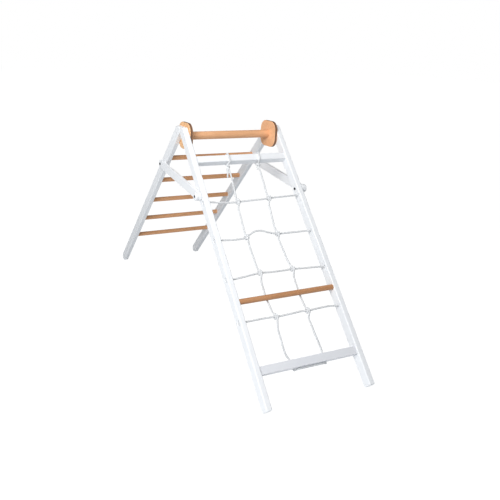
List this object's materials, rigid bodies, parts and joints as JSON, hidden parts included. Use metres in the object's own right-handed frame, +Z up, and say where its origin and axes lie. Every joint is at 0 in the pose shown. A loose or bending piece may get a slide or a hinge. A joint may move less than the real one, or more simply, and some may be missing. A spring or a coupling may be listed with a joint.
{
  "type": "folding climbing frame for children",
  "caption": "Folding A-shaped wooden climbing frame: a rope net panel, a rung ladder, rounded top plates with a bar, and two hook braces.",
  "frame": {"origin": "on the floor, under the line where the front and rear legs cross, midway between the sides", "axes": "+X across the frame to the right, +Y towards the ladder, +Z up; the net panel leans towards -Y"},
  "size_m": [0.6696, 2.1612, 1.152],
  "materials": {
    "white_paint": "satin white paint on wood",
    "bare_beech": "clear satin lacquer on beech",
    "black_steel": "black satin",
    "zinc_steel": "zinc plated",
    "white_rope": "twisted rope",
    "white_plastic": "satin"
  },
  "bodies": {
    "net_frame": {"front_rail_left": "white_paint", "front_rail_right": "white_paint", "top_crossbar": "white_paint", "bottom_crossbar": "white_paint", "top_crossbar_dowel_left_1": "bare_beech", "top_crossbar_dowel_left_2": "bare_beech", "top_crossbar_dowel_right_1": "bare_beech", "top_crossbar_dowel_right_2": "bare_beech", "bottom_crossbar_dowel_left_1": "bare_beech", "bottom_crossbar_dowel_left_2": "bare_beech", "bottom_crossbar_dowel_right_1": "bare_beech", "bottom_crossbar_dowel_right_2": "bare_beech", "plate_dowel_left_1": "bare_beech", "plate_dowel_left_2": "bare_beech", "plate_dowel_right_1": "bare_beech", "plate_dowel_right_2": "bare_beech", "front_rung": "bare_beech", "top_bar": "bare_beech", "hinge_plate_left": "bare_beech", "hinge_plate_right": "bare_beech", "hinge_insert_left": "zinc_steel", "hinge_insert_right": "zinc_steel", "hinge_bolt_left": "zinc_steel", "hinge_bolt_right": "zinc_steel", "hook_bolt_left": "black_steel", "hook_bolt_right": "black_steel", "knob_left": "white_plastic", "knob_right": "white_plastic", "knob_screw_left": "black_steel", "knob_screw_right": "black_steel", "net_row_1": "white_rope", "net_row_2": "white_rope", "net_row_3": "white_rope", "net_row_4": "white_rope", "net_upright_rope": "white_rope"},
    "ladder": {"rear_rail_left": "white_paint", "rear_rail_right": "white_paint", "rear_rung_1": "bare_beech", "rear_rung_2": "bare_beech", "rear_rung_3": "bare_beech", "rear_rung_4": "bare_beech", "rear_rung_5": "bare_beech", "hinge_cap_left": "white_plastic", "hinge_cap_right": "white_plastic", "pivot_bolt_left": "black_steel", "pivot_bolt_right": "black_steel", "pivot_nut_left": "black_steel", "pivot_nut_right": "black_steel", "brace_washer_left": "zinc_steel", "brace_washer_right": "zinc_steel", "foot_screw_upper_left": "black_steel", "foot_screw_upper_right": "black_steel", "foot_screw_lower_left": "black_steel", "foot_screw_lower_right": "black_steel"},
    "brace_left": {"brace_left": "white_paint"},
    "brace_right": {"brace_right": "white_paint"}
  },
  "joints": [
    {"name": "fold", "type": "hinge", "parent": "net_frame", "child": "ladder", "pos_m": [0, 0.04466, 1.09277], "axis": [-1, 0, 0], "range_deg": [0, 86.8]},
    {"name": "brace_left_swing", "type": "hinge", "parent": "ladder", "child": "brace_left", "pos_m": [-0.3095, 0.2446, 0.88134], "axis": [1, 0, 0], "range_deg": [0, 126.4]},
    {"name": "brace_right_swing", "type": "hinge", "parent": "ladder", "child": "brace_right", "pos_m": [0.3095, 0.2446, 0.88134], "axis": [1, 0, 0], "range_deg": [0, 126.4]}
  ],
  "couplings": [
    {"joint": "brace_left_swing", "follows": "fold", "ratio": 1.456},
    {"joint": "brace_right_swing", "follows": "fold", "ratio": 1.456}
  ]
}
